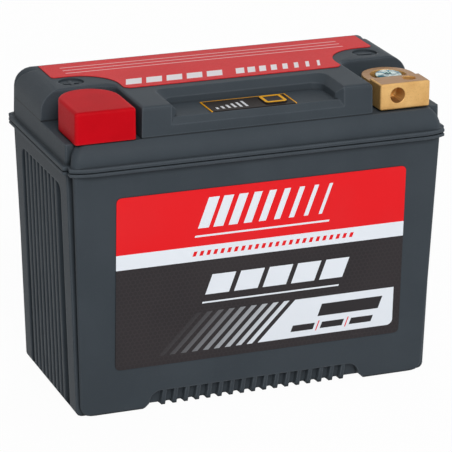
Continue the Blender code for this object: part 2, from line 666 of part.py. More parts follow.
def make_terminal(side, name, finish):
    levels = ((LUG_EDGE, LUG_BASE), (0.0, LUG_BASE + LUG_EDGE),
              (0.0, LUG_TOP - LUG_EDGE), (LUG_EDGE, LUG_TOP))
    rings = [level(lug_outline(side, inset), z) for inset, z in levels]
    terminal = piece(name, rings, finish)
    x = side * LUG_X
    lug_back = LUG_FACE + LUG_DEPTH
    cup_rim = LUG_TOP - CUP_DROP
    reach = lug_back + LUG_WIDTH
    section = [(lug_back, cup_rim), (reach, cup_rim), (reach, LUG_TOP + BODY_MARGIN),
               (lug_back - LUG_EDGE - BODY_MARGIN, LUG_TOP + BODY_MARGIN), (lug_back, LUG_TOP - LUG_EDGE)]
    step = [[(px, y, z) for y, z in section] for px in (x - LUG_WIDTH, x + LUG_WIDTH)]
    combine(terminal, f"{name}_step", [step])
    bore = SCREW_DIAMETER / 2 + FIT_GAP
    cup = []
    for radius, z in ((bore, LUG_BASE - BODY_MARGIN), (bore, LUG_BASE + CUP_FLOOR),
                      (CUP_RADIUS, LUG_BASE + CUP_FLOOR), (CUP_RADIUS, LUG_TOP + BODY_MARGIN)):
        ring = circle_ring(x, CUP_Y, radius, z)
        cup.append([(px, max(py, lug_back + FIT_GAP), pz) for px, py, pz in ring])
    face_x, face_z = side * (LUG_X - FRONT_HOLE_OFFSET), LUG_TOP - FRONT_HOLE_DROP
    front_hole = [[(face_x + px, y, face_z + pz) for px, pz in arc(0, 0, FRONT_HOLE / 2, 0, 345, 23)]
                  for y in (LUG_FACE - BODY_MARGIN, LUG_FACE + FRONT_HOLE_DEPTH)]
    top_hole = turned(side * (LUG_X + TOP_HOLE_OFFSET), LUG_FACE + TOP_HOLE_SETBACK,
                      ((TOP_HOLE / 2, LUG_TOP - TOP_HOLE_DEPTH), (TOP_HOLE / 2, LUG_TOP + BODY_MARGIN)))
    combine(terminal, f"{name}_holes", [cup, front_hole, top_hole])


def make_screw(side, name, finish):
    head_base = LUG_BASE + CUP_FLOOR + FIT_GAP
    head, shank, tall = SCREW_HEAD / 2, SCREW_DIAMETER / 2, SCREW_HEAD_HEIGHT
    tip = INSERT_BASE + INSERT_END + FIT_GAP
    profile = [(shank * 0.8, tip), (shank, tip + shank * 0.2), (shank, head_base)]
    profile.append((head, head_base))
    for i in range(5):
        turn = math.radians(90 * i / 4)
        profile.append((head - SCREW_HEAD_ROUND * (1 - math.cos(turn)),
                        head_base + tall - SCREW_HEAD_ROUND * (1 - math.sin(turn))))
    piece(name, turned(side * LUG_X, CUP_Y, profile), finish)


def make_insert(side, name, finish):
    collar_top = LEDGE - COVER_WALL - FIT_GAP
    neck, collar = INSERT_NECK / 2, INSERT_COLLAR / 2
    bore = SCREW_DIAMETER / 2 + FIT_GAP
    collar_low = collar_top - INSERT_COLLAR_HEIGHT
    profile = ((neck, INSERT_BASE), (neck, collar_low), (collar, collar_low), (collar, collar_top),
               (neck, collar_top), (neck, LEDGE), (bore, LEDGE), (bore, INSERT_BASE + INSERT_END))
    piece(name, turned(side * LUG_X, CUP_Y, profile), finish)


def cap_outline(side, grow):
    half = LUG_WIDTH / 2 + grow
    front = LUG_FACE - CAP_FRONT_ROOM - grow
    corner = CAP_EDGE
    points = arc(-half + corner, front + corner, corner, 180, 270, 3)
    points += arc(half - corner, front + corner, corner, 270, 360, 3)
    points += arc(0.0, CUP_Y, half, 0, 180, ROUND_STEPS // 2)
    return [(side * LUG_X + x, y) for x, y in points]


def make_cap(finish):
    inner_top = LUG_TOP + FIT_GAP
    outer_top = inner_top + CAP_TOP
    room, skin = FIT_GAP, FIT_GAP + CAP_WALL
    rings = [level(cap_outline(-1, room), inner_top), level(cap_outline(-1, room), LUG_BASE),
             level(cap_outline(-1, skin), LUG_BASE)]
    for i in range(4):
        turn = math.radians(90 * i / 3)
        z = outer_top - CAP_EDGE * (1 - math.sin(turn))
        drawn = CAP_EDGE * (1 - math.cos(turn)) + CAP_DRAFT * (z - LUG_BASE) / 2
        rings.append(level(cap_outline(-1, skin - drawn), z))
    cap = piece("positive_terminal_cap", rings, finish)
    place_origin(cap, (-LUG_X, CUP_Y, LUG_BASE))


def make_films(label_finish, overlay_finish):
    top = CASE_HEIGHT - FRONT_LABEL_TOP
    half, low = FRONT_LABEL_LENGTH / 2, top - FRONT_LABEL_HEIGHT
    outline = round_outline(half, low, top, FILM_CORNER, 3, FRONT_LABEL_SHIFT)
    layers = (FILM_GAP, FILM_GAP + FILM_THICKNESS)
    rings = [[(x, -(case_side(z) + out), z) for x, z in outline] for out in layers]
    piece("front_label", rings, label_finish)

    end, back = cover_end(DECK) - FIT_GAP, cover_back(DECK) - FIT_GAP
    wing = POCKET_BACK + TOP_LABEL_WING
    narrow = BLOCK_HALF - TOP_LABEL_SIDE
    front = RECESS_BACK + TOP_LABEL_FRONT
    hollow = min(TOP_LABEL_HOLLOW, end - narrow - FILM_CORNER)
    half = [(narrow - FILM_CORNER, front), (narrow, front + FILM_CORNER)]
    half += arc(narrow + hollow, wing - hollow, hollow, 180, 90, 2 * ARC_STEPS)
    half += [(end - FILM_CORNER / 2, wing), (end, wing + FILM_CORNER / 2), (end, back)]
    outline = half + [(-x, y) for x, y in reversed(half)]
    piece("top_label", [level(outline, DECK + out) for out in layers], label_finish)

    low = RECESS_FLOOR + FILM_GAP
    front, back = OVERLAY_Y - OVERLAY_WIDTH / 2, OVERLAY_Y + OVERLAY_WIDTH / 2
    outer = round_outline(OVERLAY_LENGTH / 2, front, back, FLANGE_EDGE, 4, OVERLAY_SHIFT)
    hole = button_outline(FIT_GAP)
    high = low + FILM_THICKNESS
    rings = [level(outer, low), level(outer, high), level(hole, high), level(hole, low)]
    piece("indicator_overlay", rings, overlay_finish, closed=True)


def make_indicator(finishes):
    board_top = RECESS_FLOOR - COVER_WALL - FIT_GAP
    board_low = board_top - BOARD_THICKNESS
    front = BLOCK_HOLLOW + FIT_GAP
    back = front + INDICATOR_BOARD_WIDTH
    board = round_outline(INDICATOR_BOARD_LENGTH / 2, front, back, FLANGE_EDGE * 3, 3)
    piece("indicator_board", [level(board, board_low), level(board, board_top)], finishes["board"])
    for i in range(LED_COUNT):
        rings = block_rings(LED_SIZE, (led_place(i), OVERLAY_Y), board_top + FIT_GAP, FIT_GAP / 2)
        piece(f"indicator_led_{i + 1}", rings, finishes["led"])
    dome_low = board_top + FIT_GAP
    dome = [(DOME_RADIUS * math.cos(math.radians(a)), dome_low + DOME_HEIGHT * math.sin(math.radians(a)))
            for a in (0, 30, 60, 80)]
    piece("dome_switch", turned(BUTTON_X, OVERLAY_Y, dome), finishes["steel"])
    stem_low = dome_low + DOME_HEIGHT + BUTTON_FLANGE / 2
    button_top = RECESS_FLOOR + FILM_GAP + FILM_THICKNESS + BUTTON_PROUD
    bevel = BUTTON_PROUD / 2
    levels = ((-BUTTON_FLANGE, stem_low), (0.0, stem_low + BUTTON_FLANGE / 2),
              (0.0, button_top - bevel), (-bevel, button_top))
    rings = [level(button_outline(grow), z) for grow, z in levels]
    button = piece("test_button", rings, finishes["button"])
    place_origin(button, (BUTTON_X, OVERLAY_Y, stem_low))
    return board_low


def cell_place(index):
    return (index - (CELL_COUNT - 1) / 2) * CELL_PITCH


def make_cells(finishes):
    half = CELL_THICKNESS / 2
    seal_half = CELL_SEAL_THICKNESS / 2
    shoulder = CELL_TOP - CELL_SEAL
    levels = ((CELL_PILLOW, half - CELL_PILLOW, CELL_BASE), (0.0, half, CELL_BASE + CELL_PILLOW),
              (0.0, half, shoulder - CELL_PILLOW), (CELL_PILLOW, seal_half, shoulder),
              (CELL_PILLOW, seal_half, CELL_TOP))
    tab_low = CELL_TOP - CELL_SEAL / 2
    tab_size = (TAB_WIDTH, TAB_THICKNESS, TAB_TOP - tab_low)
    for i in range(CELL_COUNT):
        y = cell_place(i)
        rings = []
        for inset, thick, z in levels:
            radius = min(CELL_CORNER, thick * 0.9)
            rings.append(level(round_outline(CELL_HALF_LENGTH - inset, y - thick, y + thick, radius, 3), z))
        cell = piece(f"cell_{i + 1}", rings, finishes["pouch"])
        tabs = [block_rings(tab_size, (x, y), tab_low) for x in (-TAB_OFFSET, TAB_OFFSET)]
        combine(cell, f"cell_{i + 1}_tabs", tabs, "UNION")
    for i in range(CELL_COUNT - 1):
        y = (cell_place(i) + cell_place(i + 1)) / 2
        low, high = CELL_BASE + SEPARATOR_INSET, CELL_TOP - CELL_SEAL - SEPARATOR_INSET
        size = (2 * (CELL_HALF_LENGTH - SEPARATOR_INSET), SEPARATOR, high - low)
        piece(f"cell_separator_{i + 1}", block_rings(size, (0.0, y), low), finishes["foam"])
        x = TAB_OFFSET if i % 2 == 0 else -TAB_OFFSET
        link = (TAB_WIDTH, CELL_PITCH + 4 * TAB_THICKNESS, LINK_THICKNESS)
        rings = block_rings(link, (x, y), LINK_TOP - LINK_THICKNESS, TAB_THICKNESS / 4)
        piece(f"tab_link_{i + 1}", rings, finishes["copper"])


def make_packing(finishes):
    half, reach = STACK_HALF - SEPARATOR_INSET, CELL_HALF_LENGTH - SEPARATOR_INSET
    pad, pad_low = round_outline(reach, -half, half, CELL_CORNER, 2), CASE_FLOOR + FIT_GAP
    piece("base_pad", [level(pad, z) for z in (pad_low, pad_low + BASE_PAD)], finishes["foam"])
    low_band = CELL_BASE + CELL_PILLOW + BAND_HEIGHT / 2
    high_band = CELL_TOP - CELL_SEAL - CELL_PILLOW - 3 * BAND_HEIGHT / 2
    inner_x, inner_y = CELL_HALF_LENGTH + FIT_GAP, STACK_HALF + FIT_GAP
    for name, low in (("lower", low_band), ("upper", high_band)):
        inner = round_outline(inner_x, -inner_y, inner_y, CELL_CORNER, 3)
        wide, deep = inner_x + BAND_THICKNESS, inner_y + BAND_THICKNESS
        outer = round_outline(wide, -deep, deep, CELL_CORNER + BAND_THICKNESS, 3)
        high = low + BAND_HEIGHT
        rings = [level(outer, low), level(outer, high), level(inner, high), level(inner, low)]
        piece(f"cell_band_{name}", rings, finishes["band"], closed=True)
    near = inner_y + BAND_THICKNESS + FIT_GAP
    far = CAVITY_SIDE - FIT_GAP
    size = (2 * reach, far - near, high_band - SIDE_PAD_RISE)
    for side, name in ((-1, "front"), (1, "back")):
        rings = block_rings(size, (0.0, side * (near + far) / 2), SIDE_PAD_RISE, FIT_GAP)
        piece(f"side_pad_{name}", rings, finishes["foam"])


def make_electronics(finishes, indicator_low):
    half_length, half_width = CELL_HALF_LENGTH - BOARD_INSET, STACK_HALF - BOARD_INSET / 2
    board = round_outline(half_length, -half_width, half_width, CELL_CORNER, 3)
    rings = [level(board, BOARD_TOP - BOARD_THICKNESS), level(board, BOARD_TOP)]
    piece("management_board", rings, finishes["board"])
    seat = BOARD_TOP + FIT_GAP
    for i in range(FET_COUNT):
        x = (i - (FET_COUNT - 1) / 2) * FET_PITCH
        rings = block_rings(FET_SIZE, (x, half_width / 2), seat, FIT_GAP)
        piece(f"board_fet_{i + 1}", rings, finishes["package"])
    # open socket for the indicator lead
    size, wall = CONNECTOR_SIZE, CONNECTOR_WALL
    centre = (0.0, -half_width / 2)
    front, back, rim = centre[1] - size[1] / 2, centre[1] + size[1] / 2, seat + size[2]
    outer = round_outline(size[0] / 2, front, back, FLANGE_EDGE, 1)
    inner = round_outline(size[0] / 2 - wall, front + wall, back - wall, FLANGE_EDGE, 1)
    rings = [level(outer, seat), level(outer, rim), level(inner, rim), level(inner, seat + wall)]
    piece("board_connector", rings, finishes["connector"])
    make_lead(centre, seat + wall + FIT_GAP, indicator_low - FIT_GAP, finishes["lead"])
    # busbars step from the board up to the pads under the inserts
    thick = BUSBAR_THICKNESS
    pad_top = INSERT_BASE - FIT_GAP
    outer_x = LUG_X + INSERT_COLLAR / 2
    riser = min(LUG_X - INSERT_COLLAR / 2, half_length - BUSBAR_FOOT)
    inner_x = riser - BUSBAR_FOOT
    pad_low = pad_top - thick
    section = [(inner_x, seat), (riser + thick, seat), (riser + thick, pad_low), (outer_x, pad_low),
               (outer_x, pad_top), (riser, pad_top), (riser, seat + thick), (inner_x, seat + thick)]
    for side, name in ((-1, "positive"), (1, "negative")):
        edges = (CUP_Y - BUSBAR_WIDTH / 2, CUP_Y + BUSBAR_WIDTH / 2)
        rings = [[(side * x, y, z) for x, z in section] for y in edges]
        piece(f"{name}_busbar", rings, finishes["copper"])


def make_lead(start, low, high, finish):
    # a gentle S from the socket up to the indicator board
    points = 12
    rise = high - low
    curve = bpy.data.curves.new("indicator_lead", "CURVE")
    curve.dimensions = "3D"
    curve.bevel_depth = LEAD_RADIUS
    curve.bevel_resolution = 2
    curve.use_fill_caps = True
    spline = curve.splines.new("POLY")
    spline.points.add(points - 1)
    for i, point in enumerate(spline.points):
        t = i / (points - 1)
        ease = min(max((t - 0.28) / 0.6, 0.0), 1.0)
        sway = ease * ease * (3 - 2 * ease)
        point.co = (start[0], start[1] + (OVERLAY_Y - start[1]) * sway, low + rise * t, 1.0)
    curve.materials.append(finish)
    bpy.context.scene.collection.objects.link(bpy.data.objects.new("indicator_lead", curve))


def main():
    for old in list(bpy.data.objects):
        bpy.data.objects.remove(old)
    shell = finish_material("slate_abs", (0.052, 0.06, 0.069), 0.55)
    brass = finish_material("cast_brass", (0.62, 0.36, 0.11), 0.38, 1.0)
    zinc = finish_material("zinc_plate", (0.62, 0.68, 0.72), 0.28, 1.0)
    red = finish_material("red_soft_plastic", (0.56, 0.004, 0.012), 0.42)
    label = finish_material("red_film", (0.66, 0.02, 0.026), 0.35)
    finishes = {
        "board": finish_material("circuit_board", (0.02, 0.09, 0.05), 0.45),
        "led": finish_material("led_lens", (0.75, 0.8, 0.72), 0.3),
        "steel": finish_material("spring_steel", (0.5, 0.5, 0.5), 0.3, 1.0),
        "button": finish_material("button_film", (0.03, 0.028, 0.026), 0.4),
        "pouch": finish_material("cell_pouch", (0.55, 0.56, 0.58), 0.35, 0.8),
        "foam": finish_material("grey_foam", (0.09, 0.09, 0.095), 0.9),
        "band": finish_material("glass_tape", (0.62, 0.58, 0.42), 0.6),
        "copper": finish_material("tinned_copper", (0.72, 0.5, 0.36), 0.35, 1.0),
        "package": finish_material("epoxy_package", (0.02, 0.02, 0.022), 0.5),
        "connector": finish_material("socket_nylon", (0.78, 0.74, 0.64), 0.5),
        "lead": finish_material("lead_sleeve", (0.025, 0.025, 0.028), 0.5),
    }
    make_case(shell)
    make_cover(finish_material("slate_abs_cover", (0.052, 0.06, 0.069), 0.55))
    for side, name in ((-1, "positive"), (1, "negative")):
        make_terminal(side, f"{name}_terminal", brass)
        make_screw(side, f"{name}_terminal_screw", zinc)
        make_insert(side, f"{name}_insert", brass)
    make_cap(red)
    make_films(label, finish_material("overlay_film", (0.03, 0.028, 0.026), 0.35))
    indicator_low = make_indicator(finishes)
    make_cells(finishes)
    make_packing(finishes)
    make_electronics(finishes, indicator_low)


main()
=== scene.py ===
# Dressed model of a sealed lithium motorcycle battery on a plain studio floor
import math
import bpy
from mathutils import Matrix, Vector


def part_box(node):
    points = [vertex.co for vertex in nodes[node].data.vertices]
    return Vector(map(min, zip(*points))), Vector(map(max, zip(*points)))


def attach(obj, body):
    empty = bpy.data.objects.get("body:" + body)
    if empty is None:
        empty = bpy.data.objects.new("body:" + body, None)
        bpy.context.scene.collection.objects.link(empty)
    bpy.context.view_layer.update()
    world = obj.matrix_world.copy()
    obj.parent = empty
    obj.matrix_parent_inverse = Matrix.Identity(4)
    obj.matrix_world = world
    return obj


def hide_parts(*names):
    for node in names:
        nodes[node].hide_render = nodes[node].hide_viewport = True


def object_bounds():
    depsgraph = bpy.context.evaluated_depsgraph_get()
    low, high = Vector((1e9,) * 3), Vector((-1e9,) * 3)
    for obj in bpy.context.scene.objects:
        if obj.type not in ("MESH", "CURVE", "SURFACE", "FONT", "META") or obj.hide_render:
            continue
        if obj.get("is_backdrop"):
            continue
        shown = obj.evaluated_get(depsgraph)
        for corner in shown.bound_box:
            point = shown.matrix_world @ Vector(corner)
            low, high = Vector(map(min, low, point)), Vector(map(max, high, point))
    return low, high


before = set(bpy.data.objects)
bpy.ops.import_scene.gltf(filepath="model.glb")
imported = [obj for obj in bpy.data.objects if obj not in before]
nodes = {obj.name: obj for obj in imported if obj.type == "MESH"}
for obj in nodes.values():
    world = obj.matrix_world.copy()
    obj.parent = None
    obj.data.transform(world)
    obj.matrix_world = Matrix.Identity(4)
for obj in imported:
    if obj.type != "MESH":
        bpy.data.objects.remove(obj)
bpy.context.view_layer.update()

mm = 0.001
mergeGap = 0.01 * mm
print("frame loaded:", len(nodes), "solids")


# selecting and shaping

def takeOnly(piece):
    if bpy.context.mode != "OBJECT":
        bpy.ops.object.mode_set(mode="OBJECT")
    bpy.ops.object.select_all(action="DESELECT")
    piece.select_set(True)
    bpy.context.view_layer.objects.active = piece


def startEdit():
    bpy.ops.object.mode_set(mode="EDIT")


def leaveEdit():
    bpy.ops.object.mode_set(mode="OBJECT")


def editAll(piece):
    takeOnly(piece)
    startEdit()
    bpy.ops.mesh.select_all(action="SELECT")


def clearSelection(piece, kind):
    takeOnly(piece)
    startEdit()
    bpy.ops.mesh.select_mode(type=kind)
    bpy.ops.mesh.select_all(action="DESELECT")
    leaveEdit()


# edit mode with the faces whose normal is wanted
def editFaces(piece, wanted):
    clearSelection(piece, "FACE")
    for face in piece.data.polygons:
        face.select = wanted(face.normal)
    startEdit()


# edit mode with the edges whose middle is wanted
def editEdges(piece, wanted):
    clearSelection(piece, "EDGE")
    points = piece.data.vertices
    for edge in piece.data.edges:
        first, second = (points[i].co for i in edge.vertices)
        edge.select = wanted((first + second) / 2)
    startEdit()


def applyModifier(piece, kind, **settings):
    takeOnly(piece)
    modifier = piece.modifiers.new(kind.lower(), kind)
    for name, value in settings.items():
        setattr(modifier, name, value)
    bpy.ops.object.modifier_apply(modifier=modifier.name)


def settle(piece, name):
    takeOnly(piece)
    bpy.ops.object.transform_apply(location=True, rotation=True, scale=True)
    piece.name = name
    piece.data.name = name
    return piece


def addPlane(name, size, place):
    bpy.ops.object.select_all(action="DESELECT")
    bpy.ops.mesh.primitive_plane_add(size=size, location=place)
    return settle(bpy.context.object, name)


def thicken(piece, thickness):
    applyModifier(piece, "SOLIDIFY", thickness=thickness, offset=1.0)
    editAll(piece)
    bpy.ops.mesh.normals_make_consistent(inside=False)
    leaveEdit()


def smoothFaces(piece, angle):
    takeOnly(piece)
    bpy.ops.object.shade_smooth_by_angle(angle=math.radians(angle))
    applyModifier(piece, "WEIGHTED_NORMAL", keep_sharp=True)


def roundEdges(piece, shape):
    applyModifier(piece, "BEVEL", width=shape["edge"], segments=shape["steps"], limit_method="ANGLE",
                  angle_limit=math.radians(shape["turn"]), use_clamp_overlap=False)
    smoothFaces(piece, shape["smooth"])


# a solid's own shape, merged for smooth shading
def softCopy(node, name):
    piece = bpy.data.objects.new(name, nodes[node].data.copy())
    bpy.context.scene.collection.objects.link(piece)
    piece.data.name = name
    editAll(piece)
    bpy.ops.mesh.remove_doubles(threshold=mergeGap)
    leaveEdit()
    bpy.ops.mesh.customdata_custom_splitnormals_clear()  # drops the loose triangles' own normals
    return piece


def fit(piece, body, slot, finish, *replaced):
    piece.data.materials.clear()
    piece.data.materials.append(finish)
    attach(piece, body)
    if replaced:
        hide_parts(*replaced)


# shader nodes

# a colour in 0 to 255, as the shader takes it
def paint(red, green, blue):
    def linear(value):
        value /= 255
        return value / 12.92 if value <= 0.04045 else ((value + 0.055) / 1.055) ** 2.4
    return (linear(red), linear(green), linear(blue), 1.0)


def grey(value):
    return (value, value, value, 1.0)


def startFinish(name):
    finish = bpy.data.materials.new(name)
    finish.use_nodes = True
    tree = finish.node_tree
    place = tree.nodes.new("ShaderNodeTexCoord").outputs["Object"]
    return finish, tree, tree.nodes["Principled BSDF"], place


def setSocket(tree, socket, value):
    if isinstance(value, bpy.types.NodeSocket):
        tree.links.new(value, socket)
    else:
        socket.default_value = value


def addNode(tree, kind, inputs, **settings):
    node = tree.nodes.new(kind)
    for name, value in settings.items():
        setattr(node, name, value)
    for name, value in inputs.items():
        setSocket(tree, node.inputs[name], value)
    return node


def calc(tree, operation, first, second=0.0):
    return addNode(tree, "ShaderNodeMath", {0: first, 1: second}, operation=operation).outputs[0]


def between(tree, value, low, high):
    above = calc(tree, "GREATER_THAN", value, low)
    return calc(tree, "MULTIPLY", above, calc(tree, "LESS_THAN", value, high))


def both(tree, *masks):
    total = masks[0]
    for mask in masks[1:]:
        total = calc(tree, "MULTIPLY", total, mask)
    return total


def either(tree, *masks):
    total = masks[0]
    for mask in masks[1:]:
        total = calc(tree, "MAXIMUM", total, mask)
    return total


# one colour over another: sockets 6 and 7 of the mix are its colours
def layer(tree, mask, below, above, share=None):
    if share is not None:
        mask = calc(tree, "MULTIPLY", mask, share)
    return addNode(tree, "ShaderNodeMix", {0: mask, 6: below, 7: above}, data_type="RGBA").outputs[2]


def noise(tree, place, scale, detail=2.0, stretch=None):
    if stretch:
        place = addNode(tree, "ShaderNodeMapping", {"Vector": place, "Scale": stretch}).outputs[0]
    return addNode(tree, "ShaderNodeTexNoise",
                   {"Vector": place, "Scale": scale, "Detail": detail}).outputs[0]


# a value's band, stretched to 0 to 1 or to the given ends
def spread(tree, value, low, high, toLow=0.0, toHigh=1.0):
    return addNode(tree, "ShaderNodeMapRange",
                   {"Value": value, "From Min": low, "From Max": high,
                    "To Min": toLow, "To Max": toHigh}).outputs[0]


def emboss(tree, shader, height, distance, strength, edge=None):
    bump = addNode(tree, "ShaderNodeBump", {"Height": height, "Distance": distance, "Strength": strength})
    if edge:
        tree.links.new(edge, bump.inputs["Normal"])
    tree.links.new(bump.outputs[0], shader.inputs["Normal"])


def feed(tree, shader, **inputs):
    names = {"colour": "Base Color", "rough": "Roughness", "metal": "Metallic",
             "specular": "Specular IOR Level"}
    for name, value in inputs.items():
        setSocket(tree, shader.inputs[names[name]], value)


# the noise's usual span, and the tones that come from it
grainBand = (0.3, 0.7)
cloudBand = (0.35, 0.65)


def roughFrom(tree, grain, look):
    return spread(tree, grain, *grainBand, *look["rough"])


def cloudedColour(tree, place, look):
    cloud = spread(tree, noise(tree, place, look["cloud"], 3), *cloudBand)
    return layer(tree, cloud, paint(*look["deep"]), paint(*look["base"]))


def axes(tree, place):
    parts = addNode(tree, "ShaderNodeSeparateXYZ", {0: place})
    return [calc(tree, "MULTIPLY", parts.outputs[i], 1 / mm) for i in range(3)]  # in mm


def faceNormal(tree):
    return tree.nodes.new("ShaderNodeNewGeometry").outputs["True Normal"]


def faceUpward(tree):
    return addNode(tree, "ShaderNodeSeparateXYZ", {0: faceNormal(tree)}).outputs[2]


# normal that turns gently over a moulded edge
def softNormal(tree, radius):
    return addNode(tree, "ShaderNodeBevel", {"Radius": radius}, samples=6).outputs[0]


# how open a point lies: low in creases, in slots and close to a neighbour
def openness(tree, distance):
    return addNode(tree, "ShaderNodeAmbientOcclusion", {"Distance": distance}, samples=8).outputs["AO"]


# moulded plastic with a spark-eroded grain, painted shade in its creases and a painted highlight on its edges

# bands for the painted highlight on convex edges
edgeHighlightBands = {"turnBand": (0.995, 0.92), "openBand": (0.78, 0.95), "patch": 160, "patchBand": (0.3, 0.6),
            "patchShare": (0.6, 1.0)}
# the fleck band gives real flecks, the crease band painted shade in creases, slots and gaps between parts
mouldFlecksAndShade = {"fleckBand": (0.62, 0.75), "creaseBand": (0.76, 0.38)}


# painted highlight: share of paler colour along the convex edges, in patches
def paintedEdgeHighlight(tree, place, edge, openAir, share):
    turned = addNode(tree, "ShaderNodeVectorMath", {0: edge, 1: faceNormal(tree)},
                     operation="DOT_PRODUCT").outputs["Value"]
    sharp = spread(tree, turned, *edgeHighlightBands["turnBand"])
    convex = spread(tree, openAir, *edgeHighlightBands["openBand"])
    patches = noise(tree, place, edgeHighlightBands["patch"], 3)
    patchy = spread(tree, patches, *edgeHighlightBands["patchBand"], *edgeHighlightBands["patchShare"])
    return calc(tree, "MULTIPLY", both(tree, sharp, convex, patchy), share)


# painted shade: a dark line between two heights, on all but level faces
def creaseLine(tree, place, line):
    sloping = calc(tree, "LESS_THAN", calc(tree, "ABSOLUTE", faceUpward(tree)), line["level"])
    height = between(tree, axes(tree, place)[2], line["low"], line["high"])
    return calc(tree, "MULTIPLY", both(tree, sloping, height), line["share"])


def mouldedFinish(name, look):
    finish, tree, shader, place = startFinish(name)
    grain = noise(tree, place, look["grain"])
    fleck = spread(tree, noise(tree, place, look["fleck"], 1), *mouldFlecksAndShade["fleckBand"])
    colour = cloudedColour(tree, place, look)
    colour = layer(tree, fleck, colour, paint(*look["pale"]), look["fleckShare"])
    edge = softNormal(tree, look["soft"])
    openAir = openness(tree, look["reach"])
    # painted shade: darker colour where the point is closed in, in creases, slots and gaps between parts
    crease = spread(tree, openAir, *mouldFlecksAndShade["creaseBand"], 0.0, look["crease"])
    colour = layer(tree, crease, colour, paint(*look["creaseShadeColour"]))
    # painted highlight: paler colour along the convex edges
    edgeHighlight = paintedEdgeHighlight(tree, place, edge, openAir, look["edgeHighlightShare"])
    colour = layer(tree, edgeHighlight, colour, paint(*look["edgeHighlight"]))
    # painted shade line at the foot of the cover's front block
    if "line" in look:
        colour = layer(tree, creaseLine(tree, place, look["line"]), colour, paint(*look["creaseShadeColour"]))
    feed(tree, shader, colour=colour, rough=roughFrom(tree, grain, look), specular=look["specular"])
    emboss(tree, shader, grain, look["depth"], look["bump"], edge)
    return finish


# the darkest colour is painted shade in creases and along the line, which lies at the foot of the cover's
# front block, heights in mm; the palest edge colour is a painted highlight
shellLook = {"base": (58, 65, 71), "deep": (54, 61, 67), "pale": (74, 80, 85), "edgeHighlight": (112, 119, 126),
             "edgeHighlightShare": 0.36, "soft": 1.0 * mm, "creaseShadeColour": (20, 24, 27), "crease": 0.88, "reach": 2.2 * mm,
             "cloud": 45, "grain": 2600, "fleck": 1900, "fleckShare": 0.2, "rough": (0.50, 0.64),
             "depth": 0.03 * mm, "bump": 0.5, "specular": 0.13,
             "line": {"low": 117.05, "high": 117.5, "level": 0.98, "share": 0.7}}
shellFinish = mouldedFinish("slate_shell", shellLook)

# the darkest colour is painted shade in creases, the palest edge colour a painted highlight
capLook = {"base": (192, 4, 21), "deep": (184, 3, 18), "pale": (206, 36, 44), "edgeHighlight": (232, 84, 86),
           "edgeHighlightShare": 0.4, "soft": 1.0 * mm, "creaseShadeColour": (110, 4, 12), "crease": 0.4, "reach": 2.0 * mm,
           "cloud": 70, "grain": 2200, "fleck": 1500, "fleckShare": 0.1, "rough": (0.46, 0.58),
           "depth": 0.02 * mm, "bump": 0.4, "specular": 0.06}
capFinish = mouldedFinish("red_cap", capLook)


# sawn and tumbled brass, with painted shade darkening its upward faces
brassLook = {"base": (226, 182, 116), "deep": (204, 157, 92), "stain": (128, 88, 42), "topShadeColour": (140, 98, 58),
             "topShadeShare": 0.85, "upBand": (0.7, 0.95), "cloud": 140, "pit": 2000, "pitBand": (0.58, 0.72),
             "pitShare": 0.28, "drawn": 900, "drawnStretch": (0.12, 1.0, 1.0), "metal": 0.5, "specular": 0.5,
             "soft": 0.6 * mm, "rough": (0.32, 0.48), "depth": 0.02 * mm, "bump": 0.35}


def brassFinish(name, look):
    finish, tree, shader, place = startFinish(name)
    cloud = spread(tree, noise(tree, place, look["cloud"], 4), *grainBand)
    pit = spread(tree, noise(tree, place, look["pit"]), *look["pitBand"])
    drawn = noise(tree, place, look["drawn"], stretch=look["drawnStretch"])
    colour = layer(tree, cloud, paint(*look["deep"]), paint(*look["base"]))
    colour = layer(tree, pit, colour, paint(*look["stain"]), look["pitShare"])
    # painted shade: the upward faces darker
    shadedTop = spread(tree, faceUpward(tree), *look["upBand"], 0.0, look["topShadeShare"])
    colour = layer(tree, shadedTop, colour, paint(*look["topShadeColour"]))
    feed(tree, shader, colour=colour, metal=look["metal"], specular=look["specular"],
         rough=roughFrom(tree, drawn, look))
    edge = softNormal(tree, look["soft"])
    emboss(tree, shader, calc(tree, "SUBTRACT", drawn, pit), look["depth"], look["bump"], edge)
    return finish


brassPlate = brassFinish("tumbled_brass", brassLook)


# zinc plating with a faint blue passivation
zincLook = {"blue": (56, 98, 110), "pale": (198, 212, 208), "tint": 420, "tintBand": (0.42, 0.60),
            "scratch": 2400, "scratchStretch": (1.0, 0.15, 1.0), "metal": 1.0, "rough": (0.12, 0.30),
            "depth": 0.01 * mm, "bump": 0.3}


def zincFinish(name, look):
    finish, tree, shader, place = startFinish(name)
    tint = spread(tree, noise(tree, place, look["tint"], 3), *look["tintBand"])
    scratch = noise(tree, place, look["scratch"], stretch=look["scratchStretch"])
    colour = layer(tree, tint, paint(*look["blue"]), paint(*look["pale"]))
    feed(tree, shader, colour=colour, metal=look["metal"], rough=roughFrom(tree, scratch, look))
    emboss(tree, shader, scratch, look["depth"], look["bump"])
    return finish


zincPlate = zincFinish("blue_zinc", zincLook)
print("plastic and metal finishes mixed")


# shapes that are printed on films, all in mm

